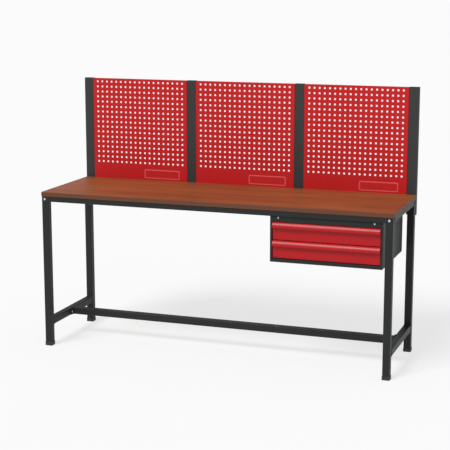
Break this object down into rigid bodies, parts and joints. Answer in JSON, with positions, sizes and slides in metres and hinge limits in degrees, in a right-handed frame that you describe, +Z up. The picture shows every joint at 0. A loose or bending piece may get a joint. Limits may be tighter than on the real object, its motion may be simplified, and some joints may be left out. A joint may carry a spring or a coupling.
{
  "type": "workbench with drawers",
  "caption": "Long steel-frame workbench with a brown board top, a hung drawer unit under one end and a perforated tool wall behind.",
  "frame": {"origin": "on the floor, under the middle of the bench's overall outline", "axes": "+X along the bench towards the drawer unit's end, -Y towards the person who stands at it, +Z up"},
  "size_m": [2.025, 0.638, 1.5],
  "materials": {
    "worktop_board": "oiled beech plywood, brown, fine straight grain",
    "frame_grey": "dark grey powder coat, fine texture",
    "panel_red": "red powder coat on perforated sheet",
    "drawer_red": "red powder coat, satin",
    "slide_steel": "zinc-plated rolled strip",
    "zinc": "bright zinc plating",
    "black_plastic": "black moulded polypropylene"
  },
  "bodies": {
    "bench": {"blank_plate_left": "panel_red", "blank_plate_middle": "panel_red", "blank_plate_right": "panel_red", "corner_bolts": "zinc", "leg_front_left": "frame_grey", "leg_front_right": "frame_grey", "leg_rear_left": "frame_grey", "leg_rear_right": "frame_grey", "panel_left": "panel_red", "panel_middle": "panel_red", "panel_right": "panel_red", "panel_screws": "zinc", "rail_front": "frame_grey", "rail_left": "frame_grey", "rail_rear": "frame_grey", "rail_right": "frame_grey", "shoe_front_left": "black_plastic", "shoe_front_right": "black_plastic", "shoe_rear_left": "black_plastic", "shoe_rear_right": "black_plastic", "slide_lower_outer": "slide_steel", "slide_lower_strips": "frame_grey", "slide_upper_outer": "slide_steel", "slide_upper_strips": "frame_grey", "stretcher_bolts": "zinc", "stretcher_left": "frame_grey", "stretcher_long": "frame_grey", "stretcher_plate_left": "frame_grey", "stretcher_plate_right": "frame_grey", "stretcher_right": "frame_grey", "unit_back": "frame_grey", "unit_bottom": "frame_grey", "unit_hanger_left": "frame_grey", "unit_hanger_right": "frame_grey", "unit_hanger_screws": "zinc", "unit_lip_screws": "zinc", "unit_side_left": "frame_grey", "unit_side_right": "frame_grey", "unit_top": "frame_grey", "upright_1": "frame_grey", "upright_2": "frame_grey", "upright_3": "frame_grey", "upright_4": "frame_grey", "upright_bolts": "zinc", "upright_caps_bottom": "black_plastic", "upright_caps_top": "black_plastic", "worktop": "worktop_board", "worktop_screws": "zinc"},
    "drawer_upper": {"drawer_upper_tray": "frame_grey", "drawer_upper_front": "drawer_red", "drawer_upper_grip": "drawer_red", "drawer_upper_screws": "zinc", "slide_upper_inner": "slide_steel"},
    "slide_upper": {"slide_upper_middle": "slide_steel"},
    "drawer_lower": {"drawer_lower_tray": "frame_grey", "drawer_lower_front": "drawer_red", "drawer_lower_grip": "drawer_red", "drawer_lower_screws": "zinc", "slide_lower_inner": "slide_steel"},
    "slide_lower": {"slide_lower_middle": "slide_steel"}
  },
  "joints": [
    {"name": "drawer_upper_slide", "type": "slide", "parent": "bench", "child": "drawer_upper", "axis": [0, -1, 0], "range_m": [0, 0.45]},
    {"name": "slide_upper_travel", "type": "slide", "parent": "bench", "child": "slide_upper", "axis": [0, -1, 0], "range_m": [0, 0.225]},
    {"name": "drawer_lower_slide", "type": "slide", "parent": "bench", "child": "drawer_lower", "axis": [0, -1, 0], "range_m": [0, 0.45]},
    {"name": "slide_lower_travel", "type": "slide", "parent": "bench", "child": "slide_lower", "axis": [0, -1, 0], "range_m": [0, 0.225]}
  ],
  "couplings": [
    {"joint": "slide_upper_travel", "follows": "drawer_upper_slide", "ratio": 0.5},
    {"joint": "slide_lower_travel", "follows": "drawer_lower_slide", "ratio": 0.5}
  ]
}
